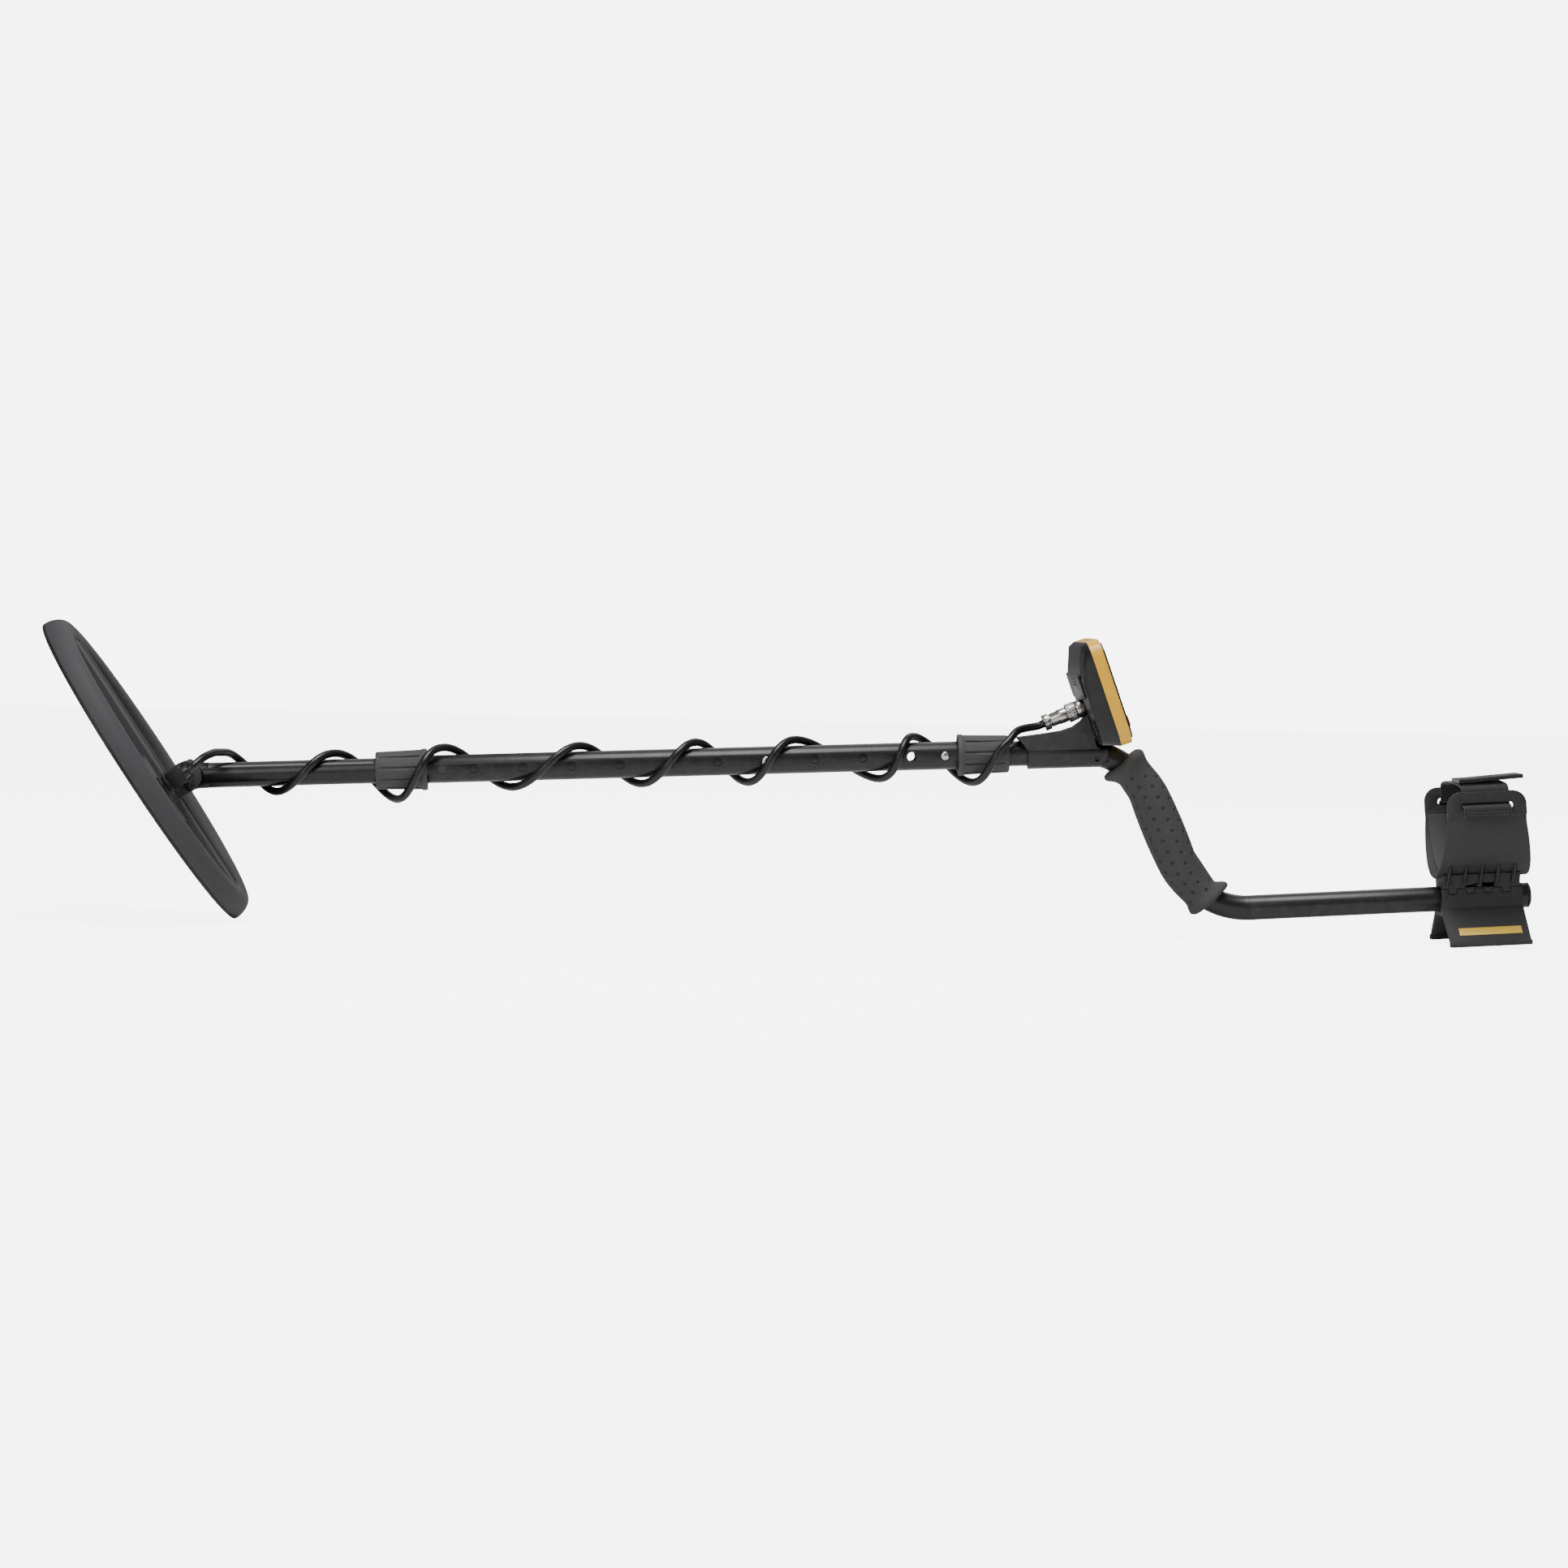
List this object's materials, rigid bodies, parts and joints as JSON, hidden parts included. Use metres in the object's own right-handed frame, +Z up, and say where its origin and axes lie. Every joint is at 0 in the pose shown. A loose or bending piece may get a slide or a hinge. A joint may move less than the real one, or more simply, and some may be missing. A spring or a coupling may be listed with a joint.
{
  "type": "metal detector",
  "caption": "Handheld metal detector with a tilting oval search coil, a telescoping shaft, a bent handle with a control box, and a strapped arm cuff on a stand.",
  "frame": {"origin": "on the floor, under the middle of the whole object at rest", "axes": "+X from the search coil to the arm cuff, +Y to the left of the person holding it as seen from the coil side, +Z up"},
  "size_m": [1.1886, 0.2156, 0.2384],
  "materials": {
    "coil_plastic": "fine satin moulded",
    "copper": "varnished copper wire",
    "rubber_black": "matt",
    "bolt_plastic": "matt moulded nylon",
    "stem_plastic": "satin glass-filled nylon",
    "spring_steel": "bare spring steel",
    "button_steel": "polished",
    "tube_paint": "satin black powder coat on aluminium",
    "lock_plastic": "matt moulded",
    "collar_plastic": "matt moulded with panels",
    "grip_foam": "closed-cell foam rubber with dimples",
    "housing_black": "fine spark texture",
    "screw_steel": "zinc plated",
    "bezel_yellow": "glossy yellow-orange moulded",
    "panel_black": "satin membrane overlay",
    "window_clear": "clear polycarbonate",
    "display_grey": "grey-green liquid crystal",
    "board_green": "solder mask",
    "speaker_black": "matt",
    "tray_plastic": "matt",
    "cell_wrap": "printed sleeve left plain",
    "key_red": "soft",
    "key_grey": "soft",
    "key_yellow": "soft",
    "plug_nickel": "nickel plated",
    "jack_black": "matt",
    "cuff_plastic": "satin moulded with a textured rim",
    "liner_foam": "closed-cell foam",
    "stand_plastic": "satin moulded",
    "webbing": "woven polyester webbing",
    "mark_yellow": "printed bar",
    "cable_rubber": "smooth vinyl jacket"
  },
  "bodies": {
    "handle": {"middle_tube": "tube_paint", "lower_lock_sleeve": "lock_plastic", "lower_collet": "lock_plastic", "upper_lock_sleeve": "lock_plastic", "upper_collet": "lock_plastic", "handle_tube": "tube_paint", "upper_spring_clip": "spring_steel", "grip": "grip_foam", "tube_end_cap": "lock_plastic", "saddle_lower": "housing_black", "saddle_upper": "housing_black", "back_cover": "housing_black", "front_bezel": "bezel_yellow", "front_panel": "panel_black", "display_window": "window_clear", "display_module": "display_grey", "circuit_board": "board_green", "speaker": "speaker_black", "battery_tray": "tray_plastic", "battery_cells": "cell_wrap", "case_screws": "screw_steel", "coil_socket": "plug_nickel", "headphone_jack": "jack_black", "plug_shell": "plug_nickel", "plug_clamp": "plug_nickel", "cable_middle": "cable_rubber", "cable_rear": "cable_rubber"},
    "stem": {"lower_stem": "stem_plastic", "lower_spring_clip": "spring_steel", "stem_washers": "rubber_black", "cable_front": "cable_rubber"},
    "coil": {"coil_shell": "coil_plastic", "coil_cover": "coil_plastic", "transmit_winding": "copper", "receive_winding": "copper", "cable_gland": "rubber_black", "gland_nut": "rubber_black", "tilt_bolt": "bolt_plastic"},
    "cuff": {"arm_cuff": "cuff_plastic", "cuff_liner": "liner_foam", "cuff_stand": "stand_plastic", "cuff_bolt": "screw_steel", "strap": "webbing", "maker_bar": "mark_yellow"},
    "battery_door": {"battery_door": "housing_black"},
    "coupling_nut": {"coupling_nut": "plug_nickel"},
    "key_minus": {"key_minus": "key_grey"},
    "key_mode": {"key_mode": "key_grey"},
    "key_notch": {"key_notch": "key_grey"},
    "key_pinpoint": {"key_pinpoint": "key_yellow"},
    "key_plus": {"key_plus": "key_grey"},
    "key_power": {"key_power": "key_red"},
    "left_wing_nut": {"left_wing_nut": "bolt_plastic"},
    "lower_button_left": {"lower_button_left": "button_steel"},
    "lower_button_right": {"lower_button_right": "button_steel"},
    "lower_collar": {"lower_collar": "collar_plastic"},
    "right_wing_nut": {"right_wing_nut": "bolt_plastic"},
    "upper_button_left": {"upper_button_left": "button_steel"},
    "upper_button_right": {"upper_button_right": "button_steel"},
    "upper_collar": {"upper_collar": "collar_plastic"}
  },
  "joints": [
    {"name": "coil_tilt", "type": "hinge", "parent": "stem", "child": "coil", "pos_m": [-0.4793, 0, 0.1143], "axis": [0, 1, 0], "range_deg": [-55, 60], "deforming": ["cable_front"]},
    {"name": "stem_slide", "type": "slide", "parent": "handle", "child": "stem", "axis": [-0.9989, 0, -0.0471], "range_m": [0, 0.2316], "deforming": ["cable_middle"]},
    {"name": "lower_collar_twist", "type": "hinge", "parent": "handle", "child": "lower_collar", "pos_m": [-0.30949, 0, 0.12231], "axis": [0.9989, 0, 0.0471], "range_deg": [0, 90]},
    {"name": "upper_collar_twist", "type": "hinge", "parent": "handle", "child": "upper_collar", "pos_m": [0.152, 0, 0.14407], "axis": [0.9989, 0, 0.0471], "range_deg": [0, 90]},
    {"name": "lower_button_left_press", "type": "slide", "parent": "stem", "child": "lower_button_left", "axis": [0, 1, 0], "range_m": [0, 0.0024], "stiffness_N_per_m": 1500, "springref_m": -0.002},
    {"name": "lower_button_right_press", "type": "slide", "parent": "stem", "child": "lower_button_right", "axis": [0, -1, 0], "range_m": [0, 0.0024], "stiffness_N_per_m": 1500, "springref_m": -0.002},
    {"name": "upper_button_left_press", "type": "slide", "parent": "handle", "child": "upper_button_left", "axis": [0, 1, 0], "range_m": [0, 0.0024], "stiffness_N_per_m": 1500, "springref_m": -0.002},
    {"name": "upper_button_right_press", "type": "slide", "parent": "handle", "child": "upper_button_right", "axis": [0, -1, 0], "range_m": [0, 0.0024], "stiffness_N_per_m": 1500, "springref_m": -0.002},
    {"name": "left_wing_nut_turn", "type": "hinge", "parent": "coil", "child": "left_wing_nut", "pos_m": [-0.4793, -0.02, 0.1143], "axis": [0, -1, 0], "continuous": true},
    {"name": "right_wing_nut_turn", "type": "hinge", "parent": "coil", "child": "right_wing_nut", "pos_m": [-0.4793, 0.02, 0.1143], "axis": [0, 1, 0], "continuous": true},
    {"name": "coupling_nut_turn", "type": "hinge", "parent": "handle", "child": "coupling_nut", "pos_m": [0.22174, 0, 0.17941], "axis": [0.9171, 0, 0.3987], "continuous": true},
    {"name": "battery_door_slide", "type": "slide", "parent": "handle", "child": "battery_door", "axis": [-0.342, 0, 0.9397], "range_m": [0, 0.034]},
    {"name": "cuff_slide", "type": "slide", "parent": "handle", "child": "cuff", "axis": [0.9979, 0, 0.0654], "range_m": [-0.028, 0]},
    {"name": "key_power_press", "type": "slide", "parent": "handle", "child": "key_power", "axis": [-0.9397, 0, -0.342], "range_m": [0, 0.001], "stiffness_N_per_m": 700, "springref_m": -0.0006},
    {"name": "key_mode_press", "type": "slide", "parent": "handle", "child": "key_mode", "axis": [-0.9397, 0, -0.342], "range_m": [0, 0.001], "stiffness_N_per_m": 700, "springref_m": -0.0006},
    {"name": "key_notch_press", "type": "slide", "parent": "handle", "child": "key_notch", "axis": [-0.9397, 0, -0.342], "range_m": [0, 0.001], "stiffness_N_per_m": 700, "springref_m": -0.0006},
    {"name": "key_minus_press", "type": "slide", "parent": "handle", "child": "key_minus", "axis": [-0.9397, 0, -0.342], "range_m": [0, 0.001], "stiffness_N_per_m": 700, "springref_m": -0.0006},
    {"name": "key_plus_press", "type": "slide", "parent": "handle", "child": "key_plus", "axis": [-0.9397, 0, -0.342], "range_m": [0, 0.001], "stiffness_N_per_m": 700, "springref_m": -0.0006},
    {"name": "key_pinpoint_press", "type": "slide", "parent": "handle", "child": "key_pinpoint", "axis": [-0.9397, 0, -0.342], "range_m": [0, 0.001], "stiffness_N_per_m": 700, "springref_m": -0.0006}
  ]
}
